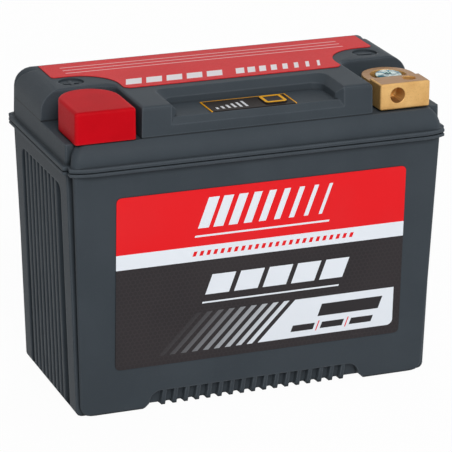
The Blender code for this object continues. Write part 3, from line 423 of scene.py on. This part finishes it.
# thin lines of a honeycomb
def honeycomb(tree, across, up, cell, line):
    row = cell * math.sqrt(3)

    def wrapped(value, period, shift):
        moved = calc(tree, "ADD", value, shift)
        return calc(tree, "SUBTRACT", calc(tree, "FLOORED_MODULO", moved, period), period / 2)

    def hexDistance(shiftX, shiftZ):
        x = calc(tree, "ABSOLUTE", wrapped(across, cell, shiftX))
        z = calc(tree, "ABSOLUTE", wrapped(up, row, shiftZ))
        halfX = calc(tree, "MULTIPLY", x, 0.5)
        lean = calc(tree, "ADD", halfX, calc(tree, "MULTIPLY", z, math.sqrt(3) / 2))
        return calc(tree, "MAXIMUM", x, lean)

    near = calc(tree, "MINIMUM", hexDistance(0, 0), hexDistance(cell / 2, row / 2))
    return calc(tree, "GREATER_THAN", near, cell / 2 - line)


def slant(tree, across, up, foot, slope):
    rise = calc(tree, "SUBTRACT", up, foot)
    return calc(tree, "SUBTRACT", across, calc(tree, "MULTIPLY", rise, slope))


def block(tree, across, up, box):
    inWidth = between(tree, across, box["left"], box["right"])
    return both(tree, inWidth, between(tree, up, box["low"], box["high"]))


# place within a pitch, counted from the left end
def pitchStep(tree, across, row):
    return calc(tree, "FLOORED_MODULO", calc(tree, "SUBTRACT", across, row["left"]), row["pitch"])


# equal blocks in a row, all of one width
def blockRow(tree, across, up, row):
    whole = dict(row, right=row["left"] + row["pitch"] * row["count"])
    inBlock = calc(tree, "LESS_THAN", pitchStep(tree, across, row), row["width"])
    return both(tree, inBlock, block(tree, across, up, whole))


# slanted bars that grow thinner from left to right
def thinningBars(tree, across, up, bars):
    width = spread(tree, across, bars["left"], bars["right"], *bars["wide"])
    inBar = calc(tree, "LESS_THAN", pitchStep(tree, across, bars), width)
    return both(tree, inBar, block(tree, across, up, bars))


filmRelief = {"depth": 0.01 * mm, "bump": 0.25, "haze": 30, "hazeBand": (0.4, 0.8)}


def hazed(tree, place, colour, look):
    cloud = noise(tree, place, filmRelief["haze"], 3)
    haze = spread(tree, cloud, *filmRelief["hazeBand"], 0.0, look["hazeShare"])
    return layer(tree, haze, colour, paint(*look["haze"]))


def filmSurface(tree, shader, place, colour, look):
    fibre = noise(tree, place, look["fibre"])
    feed(tree, shader, colour=colour, specular=look["specular"], rough=roughFrom(tree, fibre, look))
    emboss(tree, shader, fibre, filmRelief["depth"], filmRelief["bump"])


# printed film on the front wall: colour fields, slanted stripes and plain bars
frontLook = {
    "red": (227, 30, 36), "white": (227, 233, 240), "dark": (48, 45, 47), "darkLine": (64, 60, 62),
    "ink": (46, 44, 46), "haze": (120, 110, 110), "hazeShare": 0.04, "fibre": 1800, "specular": 0.09,
    "rough": (0.42, 0.54), "cell": 1.95, "cellLine": 0.17, "cellShare": 0.32,
    "stripeSlope": 0.953, "barSlope": 0.35, "glowPower": 2.0,
    "stripes": {"left": -43.4, "pitch": 4.85, "width": 2.45, "count": 9, "low": 23.3, "high": 40.4},
    "panel": {"left": 0.35, "right": 61.3, "round": 2.6, "low": 23.3, "high": 40.4},
    "plate": {"left": 24.0, "right": 51.5, "low": 31.6, "high": 37.0},
    "plateRow": {"left": 14.0, "pitch": 13.2, "width": 10.0, "count": 3, "low": 26.0, "high": 28.8},
    "ticks": {"left": 25.35, "pitch": 13.2, "width": 0.5, "count": 2, "low": 25.2, "high": 29.6},
    "blocks": {"left": -32.0, "pitch": 12.6, "width": 10.4, "count": 5, "low": 48.0, "high": 56.6},
    "blockRule": {"left": -32.0, "right": 28.6, "low": 44.2, "high": 44.9},
    "band": {"low": 63.2, "high": 69.7},
    "dashes": {"left": -44.0, "pitch": 3.0, "width": 1.5, "count": 24, "low": 65.4, "high": 67.5},
    "bars": {"left": -46.0, "right": 12.9, "pitch": 6.6, "wide": (5.0, 1.2), "low": 77.4, "high": 90.4},
    "barRule": {"left": -46.0, "right": 12.9, "low": 73.6, "high": 74.4}}


# white panel, slanted on its left, with a round corner at its lower right
def panelMask(tree, x, z, lean, panel):
    bend = panel["round"]
    overX = calc(tree, "MAXIMUM", calc(tree, "SUBTRACT", x, panel["right"] - bend), 0.0)
    underZ = calc(tree, "MAXIMUM", calc(tree, "SUBTRACT", panel["low"] + bend, z), 0.0)
    corner = calc(tree, "ADD", calc(tree, "POWER", overX, 2.0), calc(tree, "POWER", underZ, 2.0))
    pastLeft = calc(tree, "GREATER_THAN", lean, panel["left"])
    inCorner = calc(tree, "LESS_THAN", corner, bend ** 2)
    return both(tree, pastLeft, inCorner, between(tree, z, panel["low"], panel["high"]))


def frontPrint(name, look):
    finish, tree, shader, place = startFinish(name)
    x, z = axes(tree, place)[::2]
    red, white, ink = (paint(*look[key]) for key in ("red", "white", "ink"))
    stripes, band = look["stripes"], look["band"]
    lean = slant(tree, x, z, stripes["low"], look["stripeSlope"])
    tilt = slant(tree, x, z, stripes["low"], look["barSlope"])
    cells = honeycomb(tree, x, z, look["cell"], look["cellLine"])
    dark = layer(tree, cells, paint(*look["dark"]), paint(*look["darkLine"]), look["cellShare"])

    # stripes brighten towards the white panel
    reach = spread(tree, lean, stripes["left"] - stripes["pitch"],
                   stripes["left"] + stripes["pitch"] * stripes["count"])
    glow = calc(tree, "POWER", reach, look["glowPower"])
    dark = layer(tree, both(tree, blockRow(tree, lean, z, stripes), glow), dark, white)
    dark = layer(tree, panelMask(tree, x, z, lean, look["panel"]), dark, white)
    plates = either(tree, block(tree, tilt, z, look["plate"]), blockRow(tree, tilt, z, look["plateRow"]))
    dark = layer(tree, plates, dark, ink)
    dark = layer(tree, blockRow(tree, tilt, z, look["ticks"]), dark, red)

    # blocks and a thin rule in the dark field
    blocks = either(tree, blockRow(tree, tilt, z, look["blocks"]), block(tree, tilt, z, look["blockRule"]))
    dark = layer(tree, blocks, dark, white)

    # bars in the red field, and a white band with red dashes below it
    colour = layer(tree, calc(tree, "GREATER_THAN", z, band["low"]), dark, red)
    marks = either(tree, thinningBars(tree, tilt, z, look["bars"]), block(tree, tilt, z, look["barRule"]))
    colour = layer(tree, marks, colour, white)
    colour = layer(tree, between(tree, z, band["low"], band["high"]), colour, white)
    colour = layer(tree, blockRow(tree, tilt, z, look["dashes"]), colour, red)
    filmSurface(tree, shader, place, hazed(tree, place, colour, look), look)
    return finish


frontFilm = frontPrint("front_film", frontLook)


# printed film on the deck: bars along the front edge, fine rules behind
topLook = {"red": (214, 42, 46), "redDeep": (206, 38, 42), "white": (238, 232, 234), "haze": (120, 100, 100),
           "hazeShare": 0.04, "cloud": 35, "cloudBand": (0.35, 0.7), "barSlope": 0.35, "ruleShare": 0.55,
           "fibre": 1800, "specular": 0.1, "rough": (0.42, 0.54),
           "blocks": {"left": -46.0, "pitch": 8.8, "width": 6.8, "count": 5, "low": -6.2, "high": 1.2},
           "bars": {"left": 2.0, "right": 43.0, "pitch": 5.2, "wide": (4.0, 1.0), "low": -6.2, "high": 1.2},
           "rules": {"left": 17.0, "pitch": 4.0, "width": 0.8, "count": 3, "low": -64.0, "high": 60.0}}


def topPrint(name, look):
    finish, tree, shader, place = startFinish(name)
    x, y = axes(tree, place)[:2]
    white = paint(*look["white"])
    cloud = spread(tree, noise(tree, place, look["cloud"], 3), *look["cloudBand"])
    colour = layer(tree, cloud, paint(*look["red"]), paint(*look["redDeep"]))
    tilt = slant(tree, x, y, look["bars"]["low"], look["barSlope"])
    marks = either(tree, blockRow(tree, tilt, y, look["blocks"]), thinningBars(tree, tilt, y, look["bars"]))
    colour = layer(tree, marks, colour, white)
    rules = blockRow(tree, y, x, look["rules"])  # they run along x and repeat along y
    colour = layer(tree, rules, colour, white, look["ruleShare"])
    filmSurface(tree, shader, place, hazed(tree, place, colour, look), look)
    return finish


topFilm = topPrint("top_film", topLook)


# charge gauge: dark film, amber border on three sides, rising bars
gaugeLook = {"dark": (34, 29, 27), "darkSheen": (41, 36, 34), "amber": (226, 158, 8), "pale": (222, 224, 228),
             "cloud": 120, "cloudBand": (0.4, 0.7), "fibre": 2200, "specular": 0.08, "rough": (0.38, 0.5),
             "border": 0.6, "left": -19.75, "right": 17.35, "back": -21.3, "barCount": 6, "barFirst": -15.9,
             "barPitch": 2.52, "barWide": 1.1, "barFoot": -32.7, "barHead": -30.4, "barStep": 1.0}


def gaugePrint(name, look):
    finish, tree, shader, place = startFinish(name)
    x, y = axes(tree, place)[:2]
    border = look["border"]
    edge = either(tree, calc(tree, "GREATER_THAN", y, look["back"] - border),
                  calc(tree, "LESS_THAN", x, look["left"] + border),
                  calc(tree, "GREATER_THAN", x, look["right"] - border))
    bars = []
    for index in range(look["barCount"]):
        middle = look["barFirst"] + look["barPitch"] * index
        box = {"left": middle - look["barWide"] / 2, "right": middle + look["barWide"] / 2,
               "low": look["barFoot"], "high": look["barHead"] + look["barStep"] * index}
        bars.append(block(tree, x, y, box))
    cloud = spread(tree, noise(tree, place, look["cloud"]), *look["cloudBand"])
    colour = layer(tree, cloud, paint(*look["dark"]), paint(*look["darkSheen"]))
    colour = layer(tree, edge, colour, paint(*look["amber"]))
    colour = layer(tree, either(tree, *bars), colour, paint(*look["pale"]))
    filmSurface(tree, shader, place, colour, look)
    return finish


gaugeFilm = gaugePrint("gauge_film", gaugeLook)
print("films printed")


# plain materials: two tones, grain and a fitting gloss
plainGloss = {"specular": 0.5, "bump": 0.6}


def innerFinish(name, look):
    finish, tree, shader, place = startFinish(name)
    grain = noise(tree, place, look["grain"], 3, look.get("stretch"))
    feed(tree, shader, colour=cloudedColour(tree, place, look), metal=look["metal"],
         specular=look.get("specular", plainGloss["specular"]), rough=roughFrom(tree, grain, look))
    emboss(tree, shader, grain, look["depth"], plainGloss["bump"])
    return finish


buttonLook = {"base": (44, 41, 43), "deep": (36, 33, 35), "cloud": 300, "grain": 2200, "metal": 0.0,
              "specular": 0.08, "rough": (0.36, 0.5), "depth": 0.01 * mm}
buttonFilm = innerFinish("button_film", buttonLook)

amberLook = {"base": (240, 176, 30), "deep": (232, 164, 14), "cloud": 300, "grain": 2200, "metal": 0.0,
             "specular": 0.1, "rough": (0.34, 0.46), "depth": 0.01 * mm}
amberInk = innerFinish("amber_ink", amberLook)

innerLooks = {
    "pouch": {"base": (176, 180, 184), "deep": (158, 162, 168), "cloud": 60, "grain": 700, "metal": 0.8,
              "rough": (0.32, 0.48), "depth": 0.08 * mm},
    "foam": {"base": (62, 62, 64), "deep": (40, 40, 42), "cloud": 900, "grain": 1300, "metal": 0.0,
             "rough": (0.86, 0.98), "depth": 0.3 * mm},
    "tape": {"base": (206, 186, 132), "deep": (190, 168, 112), "cloud": 80, "grain": 900, "metal": 0.0,
             "rough": (0.3, 0.5), "depth": 0.05 * mm, "stretch": (1.0, 1.0, 0.05)},
    "copper": {"base": (206, 124, 84), "deep": (176, 96, 62), "cloud": 120, "grain": 900, "metal": 1.0,
               "rough": (0.28, 0.44), "depth": 0.03 * mm, "stretch": (0.1, 1.0, 1.0)},
    "board": {"base": (28, 84, 52), "deep": (18, 62, 38), "cloud": 260, "grain": 1200, "metal": 0.0,
              "rough": (0.3, 0.44), "depth": 0.03 * mm},
    "package": {"base": (34, 34, 36), "deep": (24, 24, 26), "cloud": 500, "grain": 3000, "metal": 0.0,
                "rough": (0.5, 0.66), "depth": 0.02 * mm},
    "socket": {"base": (232, 228, 214), "deep": (220, 214, 198), "cloud": 200, "grain": 2000, "metal": 0.0,
               "rough": (0.4, 0.52), "depth": 0.02 * mm},
    "lens": {"base": (236, 240, 228), "deep": (222, 226, 206), "cloud": 600, "grain": 1500, "metal": 0.0,
             "rough": (0.16, 0.28), "depth": 0.01 * mm},
    "spring_steel": {"base": (196, 198, 200), "deep": (170, 172, 176), "cloud": 400, "grain": 2600,
                     "metal": 1.0, "rough": (0.22, 0.36), "depth": 0.01 * mm},
    "lead": {"base": (48, 48, 52), "deep": (38, 38, 42), "cloud": 300, "grain": 1800, "metal": 0.0,
             "rough": (0.45, 0.6), "depth": 0.02 * mm},
}
innerFinishes = {slot: innerFinish("inner_" + slot, look) for slot, look in innerLooks.items()}
slotFinishes = dict(innerFinishes, shell=shellFinish, cap=capFinish, brass=brassPlate, zinc_screw=zincPlate)
print("finishes mixed:", len(bpy.data.materials))


# every solid takes a finish by its slot, the films by name
nodeFilms = {"front_label": frontFilm, "top_label": topFilm, "indicator_overlay": gaugeFilm,
             "test_button": buttonFilm}
for name, node in nodes.items():
    for holder in node.material_slots:
        slot = holder.material.name.split(".")[0]
        holder.material = nodeFilms.get(name) or slotFinishes[slot]
print("solids dressed")


# case and cover
shellShape = {"smooth": 26}
for node in ("case", "cover"):
    piece = softCopy(node, "moulded_" + node)
    smoothFaces(piece, shellShape["smooth"])
    fit(piece, "battery", "shell", shellFinish, node)

# brass terminals
lugShape = {"smooth": 32}
for side in ("negative", "positive"):
    piece = softCopy(side + "_terminal", side + "_lug")
    smoothFaces(piece, lugShape["smooth"])
    fit(piece, "battery", "brass", brassPlate, side + "_terminal")

# terminal cap
capShape = {"edge": 0.3 * mm, "turn": 25, "steps": 3, "smooth": 60}
piece = softCopy("positive_terminal_cap", "red_terminal_cap")
roundEdges(piece, capShape)
fit(piece, "terminal_cap", "cap", capFinish, "positive_terminal_cap")
print("shell, lugs and cap shaped")


# terminal screws: a tapered cross recess, with fine marks between its arms
# each cut is deeper by its turn in degrees times stagger, so that no two floors fall together
screwShape = {"edge": 0.06 * mm, "turn": 40, "steps": 2, "smooth": 35,
              "arms": {"turns": (20, 110), "long": 6.2 * mm, "wide": 1.3 * mm, "deep": 2.6 * mm,
                       "taper": 0.45, "stagger": 0.0005 * mm},
              "marks": {"turns": (65, 155), "long": 8.6 * mm, "wide": 0.4 * mm, "deep": 0.3 * mm,
                        "taper": 0.97, "stagger": 0.0003 * mm}}


def cutSlot(piece, middle, top, cut, turn):
    deep = cut["deep"] + turn * cut["stagger"]
    bpy.ops.object.select_all(action="DESELECT")
    bpy.ops.mesh.primitive_cube_add(size=1.0, location=(middle.x, middle.y, top),
                                    rotation=(0, 0, math.radians(turn)))
    cutter = bpy.context.object
    cutter.scale = (cut["long"], cut["wide"], 2 * deep)
    settle(cutter, "slot_cutter")
    editFaces(cutter, lambda normal: normal.z < -0.5)  # its floor
    bpy.ops.transform.resize(value=(cut["taper"], cut["taper"], 1.0),
                             center_override=(middle.x, middle.y, top))
    leaveEdit()
    applyModifier(piece, "BOOLEAN", operation="DIFFERENCE", object=cutter, solver="EXACT")
    bpy.data.objects.remove(cutter, do_unlink=True)


for side in ("negative", "positive"):
    node = side + "_terminal_screw"
    low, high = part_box(node)
    piece = softCopy(node, side + "_cross_screw")
    for cut in (screwShape["arms"], screwShape["marks"]):
        for turn in cut["turns"]:
            cutSlot(piece, (low + high) / 2, high.z, cut, turn)
    roundEdges(piece, screwShape)
    fit(piece, "battery", "zinc_screw", zincPlate, node)
print("screws cut")


# polarity signs in the dimples
signShape = {"length": 6.4 * mm, "width": 1.5 * mm, "rise": 0.35 * mm, "x": 65.25 * mm, "y": 6.4 * mm,
             "floor": 129.2 * mm, "near": 0.05 * mm, "edge": 0.12 * mm, "turn": 40, "steps": 2, "smooth": 40}
minusArms = [(1, 0), (-1, 0)]
plusArms = minusArms + [(0, 1), (0, -1)]


def signPiece(name, x, arms):
    middle = Vector((x, signShape["y"], signShape["floor"]))
    sign = addPlane(name, signShape["width"], middle)
    reach = (signShape["length"] - signShape["width"]) / 2
    for alongX, alongY in arms:
        out = Vector((alongX, alongY, 0))
        start = middle + out * signShape["width"] / 2
        editEdges(sign, lambda place: (place - start).length < signShape["near"])
        bpy.ops.mesh.extrude_region_move(TRANSFORM_OT_translate={"value": tuple(out * reach)})
        leaveEdit()
    thicken(sign, signShape["rise"])
    roundEdges(sign, signShape)
    fit(sign, "battery", "shell", shellFinish)


signPiece("plus_sign", -signShape["x"], plusArms)
signPiece("minus_sign", signShape["x"], minusArms)


# amber frame on the test button
frameShape = {"size": 9.4 * mm, "corner": 1.5 * mm, "cornerSteps": 5, "line": 1.3 * mm, "thick": 0.16 * mm,
              "x": 9.4 * mm, "y": -28.2 * mm, "edge": 0.06 * mm, "turn": 40, "steps": 2, "smooth": 40}
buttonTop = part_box("test_button")[1].z
piece = addPlane("button_frame", frameShape["size"], (frameShape["x"], frameShape["y"], buttonTop))
editAll(piece)
bpy.ops.mesh.bevel(offset=frameShape["corner"], segments=frameShape["cornerSteps"], affect="VERTICES")
bpy.ops.mesh.select_all(action="SELECT")
bpy.ops.mesh.inset(thickness=frameShape["line"])
bpy.ops.mesh.delete(type="FACE")
leaveEdit()
thicken(piece, frameShape["thick"])
roundEdges(piece, frameShape)
fit(piece, "test_button", "overlay", amberInk)
print("signs and button frame made")


# camera at the photograph's place
view = {"place": (-0.38730, -0.99787, 0.44317), "lens": 214.504, "sensor": 36.0, "clip": (0.01, 60.0),
        "right": (0.93314, -0.35941, 0.00853), "down": (-0.11310, -0.31599, -0.94200),
        "ahead": (0.34126, 0.87805, -0.33552)}
bpy.ops.object.camera_add()
camera = bpy.context.object
camera.name = "photo_camera"
facing = Matrix((view["right"], -Vector(view["down"]), -Vector(view["ahead"]))).transposed()
camera.matrix_world = Matrix.Translation(view["place"]) @ facing.to_4x4()
camera.data.sensor_width = view["sensor"]
camera.data.lens = view["lens"]
camera.data.clip_start, camera.data.clip_end = view["clip"]
bpy.context.scene.camera = camera


# studio: white to the eye and to reflections, plain light on the object
studio = {"ambient": (0.22, 0.226, 0.234, 1.0), "floorSize": 8.0, "floorDrop": 0.02 * mm, "floorCloud": 6,
          "floorTones": (0.88, 0.90), "floorRough": 0.9, "floorGlow": 0.96, "aim": (0, 0, 0.065)}
lamps = {"key_box": {"place": (-0.25, -1.2, 1.0), "size": 0.7, "power": 16.6, "colour": (1.0, 0.99, 0.98)},
         "back_box": {"place": (0.4, 1.4, 0.35), "size": 0.8, "power": 10.0, "colour": (1.0, 1.0, 1.0)},
         "right_box": {"place": (1.4, 0.0, 0.35), "size": 0.8, "power": 8.0, "colour": (1.0, 1.0, 1.0)}}


def seenDirectly(tree):
    path = tree.nodes.new("ShaderNodeLightPath")
    rays = ("Is Camera Ray", "Is Glossy Ray", "Is Transmission Ray")
    return either(tree, *(path.outputs[ray] for ray in rays))


world = bpy.data.worlds.new("studio")
bpy.context.scene.world = world
world.use_nodes = True
tree = world.node_tree
ambient = tree.nodes["Background"]
ambient.inputs["Color"].default_value = studio["ambient"]
bright = addNode(tree, "ShaderNodeBackground", {"Color": grey(1.0), "Strength": 1.0})
mixed = addNode(tree, "ShaderNodeMixShader",
                {0: seenDirectly(tree), 1: ambient.outputs[0], 2: bright.outputs[0]})
tree.links.new(mixed.outputs[0], tree.nodes["World Output"].inputs["Surface"])

floor = addPlane("studio_floor", studio["floorSize"], (0, 0, -studio["floorDrop"]))
floorFinish, tree, shader, place = startFinish("pale_floor")
tones = [grey(tone) for tone in studio["floorTones"]]
feed(tree, shader, colour=layer(tree, noise(tree, place, studio["floorCloud"]), *tones),
     rough=studio["floorRough"], specular=0.0)
glow = addNode(tree, "ShaderNodeEmission", {"Color": grey(1.0), "Strength": 1.0})
share = calc(tree, "MULTIPLY", seenDirectly(tree), studio["floorGlow"])
mixed = addNode(tree, "ShaderNodeMixShader", {0: share, 1: shader.outputs[0], 2: glow.outputs[0]})
tree.links.new(mixed.outputs[0], tree.nodes["Material Output"].inputs["Surface"])
floor.data.materials.append(floorFinish)
floor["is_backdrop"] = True

for name, box in lamps.items():
    bpy.ops.object.light_add(type="AREA", location=box["place"])
    lamp = bpy.context.object
    lamp.name = name
    toObject = Vector(studio["aim"]) - Vector(box["place"])
    lamp.rotation_euler = toObject.to_track_quat("-Z", "Y").to_euler()
    lamp.data.size = box["size"]
    lamp.data.energy = box["power"]
    lamp.data.color = box["colour"]
    lamp.visible_glossy = name == "key_box"  # the other lamps give no glare
bpy.context.scene.view_settings.view_transform = "Standard"
print("camera, floor and lamps set")

low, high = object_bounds()
